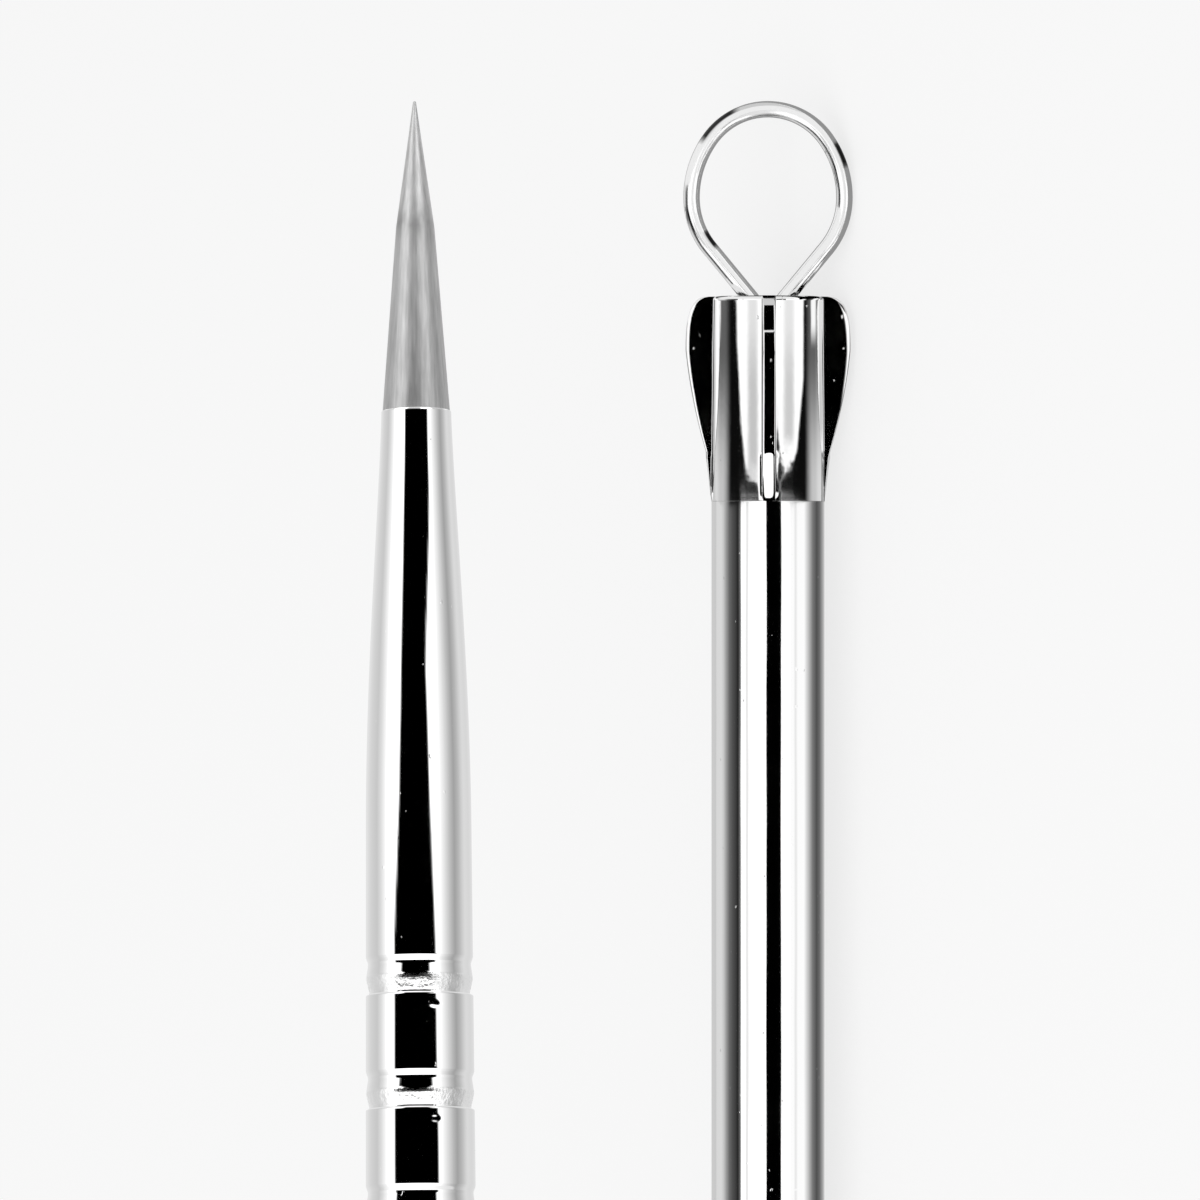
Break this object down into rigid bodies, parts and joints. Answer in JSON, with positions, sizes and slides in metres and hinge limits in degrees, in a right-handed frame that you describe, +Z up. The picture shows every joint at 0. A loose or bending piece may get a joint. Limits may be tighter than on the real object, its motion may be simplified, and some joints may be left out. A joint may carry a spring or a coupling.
{
  "type": "blackhead extractor",
  "caption": "Slim double-ended skin tool: a ground steel needle at one end, a pear-shaped wire loop in a finned ferrule at the other, on a polished tube handle with rolled grip rings.",
  "frame": {"origin": "middle of the tool's length, under its axis, at the plane that its two lower fins stand on", "axes": "+X along the tool's axis towards the wire loop, +Z up; the loop's plane leans 45 degrees, as the tool lies on two of its four fins"},
  "size_m": [0.1202, 0.0054, 0.0053],
  "materials": {
    "polished_steel": "mirror polished",
    "ground_steel": "ground lengthwise, satin",
    "wire": "polished wire",
    "brass": "turned"
  },
  "bodies": {
    "root": {"needle": "ground_steel", "needle_bush": "brass", "front_barrel": "polished_steel", "joint_spigot": "brass", "rear_tube": "polished_steel", "loop_ferrule": "polished_steel", "loop_core": "ground_steel", "wire_loop": "wire"}
  },
  "joints": []
}
